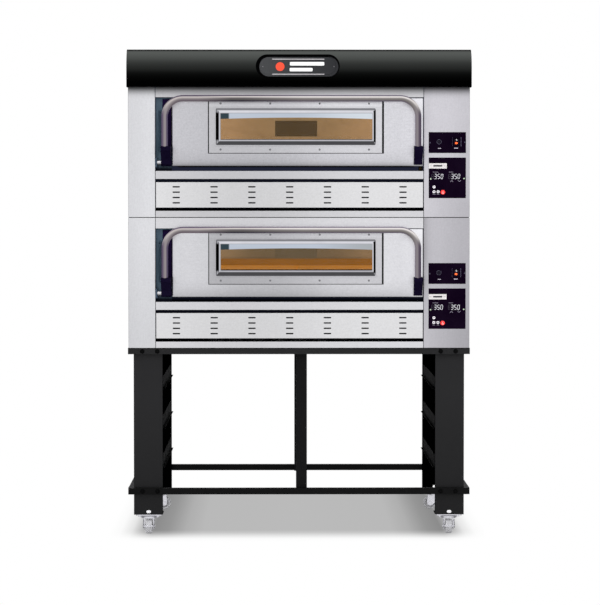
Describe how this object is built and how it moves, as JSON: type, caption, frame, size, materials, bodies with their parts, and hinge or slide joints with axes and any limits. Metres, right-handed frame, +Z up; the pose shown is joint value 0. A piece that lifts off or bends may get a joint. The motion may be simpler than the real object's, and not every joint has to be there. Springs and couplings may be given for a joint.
{
  "type": "double-deck gas pizza oven on a castor stand",
  "caption": "Free-standing double-deck gas pizza oven: steel decks with drop-down glazed doors and arched handles, curved black hood, open wheeled stand.",
  "frame": {"origin": "on the floor, under the middle of the overall width and of the overall depth", "axes": "+Z up, the doors face -Y, +X to the right as seen from the front"},
  "size_m": [1.517, 1.234, 2.157],
  "materials": {
    "stainless": "fine satin grain, lengthwise",
    "door_stainless": "fine satin grain",
    "tube_steel": "satin polished tube",
    "chamber_steel": "heat-browned aluminised steel",
    "zinc": "bright zinc plate",
    "screw_steel": "polished stainless",
    "frame_black": "satin black powder coat",
    "hood_black": "gloss black enamel",
    "badge_grey": "gloss dark grey",
    "panel_black": "smooth near-black overlay film",
    "socket_black": "moulded glass-filled nylon",
    "button_grey": "matt dark grey",
    "glass": "clear tempered",
    "lamp_glass": "heat-proof dome",
    "stone": "refractory, dry pressed",
    "wool": "mineral wool",
    "brass": "cast and machined",
    "board_green": "solder-masked laminate",
    "wheel_grey": "grey non-marking tread",
    "spring_black": "black oxide spring wire"
  },
  "bodies": {
    "oven_body": {"deck_casings": "stainless", "side_pillars": "stainless", "control_pillars": "stainless", "front_rails": "stainless", "vent_panels": "stainless", "chambers": "chamber_steel", "stone_slabs": "stone", "insulation_jackets": "wool", "flue_sleeves": "stainless", "flue_baffles": "chamber_steel", "burner_tubes": "zinc", "gas_trains": "brass", "chamber_lamps": "lamp_glass", "control_boards": "board_green", "switch_plates": "panel_black", "control_plates": "panel_black", "hinge_bearings": "brass", "hinge_covers": "frame_black", "balance_springs": "spring_black", "hood_fascia": "hood_black", "hood_shell": "hood_black", "hood_badge": "badge_grey", "hood_filters": "stainless", "stand_top_frame": "frame_black", "stand_bottom_frame": "frame_black", "stand_legs": "frame_black", "stand_posts": "frame_black", "tray_runners": "frame_black", "frame_bolts": "frame_black", "castor_plates": "zinc"},
    "lower_door": {"lower_door_skin": "door_stainless", "lower_door_liner": "door_stainless", "lower_window_frame": "door_stainless", "lower_door_glass": "glass", "lower_window_screws": "screw_steel", "lower_handle": "tube_steel", "lower_handle_sockets": "socket_black", "lower_hinge_pins": "screw_steel"},
    "lower_reset": {"lower_reset_button": "button_grey"},
    "lower_switch": {"lower_rocker": "button_grey"},
    "upper_door": {"upper_door_skin": "door_stainless", "upper_door_liner": "door_stainless", "upper_window_frame": "door_stainless", "upper_door_glass": "glass", "upper_window_screws": "screw_steel", "upper_handle": "tube_steel", "upper_handle_sockets": "socket_black", "upper_hinge_pins": "screw_steel"},
    "upper_reset": {"upper_reset_button": "button_grey"},
    "upper_switch": {"upper_rocker": "button_grey"},
    "castor_front_left": {"fork_front_left": "zinc"},
    "roller_front_left": {"wheel_front_left": "wheel_grey"},
    "castor_rear_left": {"fork_rear_left": "zinc"},
    "roller_rear_left": {"wheel_rear_left": "wheel_grey"},
    "brake_front_left": {"pedal_front_left": "zinc"},
    "castor_front_right": {"fork_front_right": "zinc"},
    "roller_front_right": {"wheel_front_right": "wheel_grey"},
    "castor_rear_right": {"fork_rear_right": "zinc"},
    "roller_rear_right": {"wheel_rear_right": "wheel_grey"},
    "brake_front_right": {"pedal_front_right": "zinc"}
  },
  "joints": [
    {"name": "lower_door_hinge", "type": "hinge", "parent": "oven_body", "child": "lower_door", "pos_m": [0, -0.538, 1.066], "axis": [1, 0, 0], "range_deg": [0, 90]},
    {"name": "lower_reset_push", "type": "slide", "parent": "oven_body", "child": "lower_reset", "axis": [0, 1, 0], "range_m": [0, 0.003], "stiffness_N_per_m": 300},
    {"name": "lower_switch_rock", "type": "hinge", "parent": "oven_body", "child": "lower_switch", "pos_m": [0.692, -0.5476, 1.157], "axis": [-1, 0, 0], "range_deg": [0, 14]},
    {"name": "upper_door_hinge", "type": "hinge", "parent": "oven_body", "child": "upper_door", "pos_m": [0, -0.538, 1.641], "axis": [1, 0, 0], "range_deg": [0, 90]},
    {"name": "upper_reset_push", "type": "slide", "parent": "oven_body", "child": "upper_reset", "axis": [0, 1, 0], "range_m": [0, 0.003], "stiffness_N_per_m": 300},
    {"name": "upper_switch_rock", "type": "hinge", "parent": "oven_body", "child": "upper_switch", "pos_m": [0.692, -0.5476, 1.732], "axis": [-1, 0, 0], "range_deg": [0, 14]},
    {"name": "swivel_front_left", "type": "hinge", "parent": "oven_body", "child": "castor_front_left", "pos_m": [-0.664, -0.459, 0.08], "axis": [0, 0, 1], "continuous": true},
    {"name": "roll_front_left", "type": "hinge", "parent": "castor_front_left", "child": "roller_front_left", "pos_m": [-0.664, -0.487, 0.031], "axis": [1, 0, 0], "continuous": true},
    {"name": "swivel_rear_left", "type": "hinge", "parent": "oven_body", "child": "castor_rear_left", "pos_m": [-0.664, 0.459, 0.08], "axis": [0, 0, 1], "continuous": true},
    {"name": "roll_rear_left", "type": "hinge", "parent": "castor_rear_left", "child": "roller_rear_left", "pos_m": [-0.636, 0.459, 0.031], "axis": [0, 1, 0], "continuous": true},
    {"name": "brake_front_left_press", "type": "hinge", "parent": "castor_front_left", "child": "brake_front_left", "pos_m": [-0.664, -0.489, 0.057], "axis": [1, 0, 0], "range_deg": [0, 12], "stiffness_Nm_per_rad": 1.5},
    {"name": "swivel_front_right", "type": "hinge", "parent": "oven_body", "child": "castor_front_right", "pos_m": [0.664, -0.459, 0.08], "axis": [0, 0, 1], "continuous": true},
    {"name": "roll_front_right", "type": "hinge", "parent": "castor_front_right", "child": "roller_front_right", "pos_m": [0.664, -0.487, 0.031], "axis": [1, 0, 0], "continuous": true},
    {"name": "swivel_rear_right", "type": "hinge", "parent": "oven_body", "child": "castor_rear_right", "pos_m": [0.664, 0.459, 0.08], "axis": [0, 0, 1], "continuous": true},
    {"name": "roll_rear_right", "type": "hinge", "parent": "castor_rear_right", "child": "roller_rear_right", "pos_m": [0.636, 0.459, 0.031], "axis": [0, 1, 0], "continuous": true},
    {"name": "brake_front_right_press", "type": "hinge", "parent": "castor_front_right", "child": "brake_front_right", "pos_m": [0.664, -0.489, 0.057], "axis": [1, 0, 0], "range_deg": [0, 12], "stiffness_Nm_per_rad": 1.5}
  ]
}
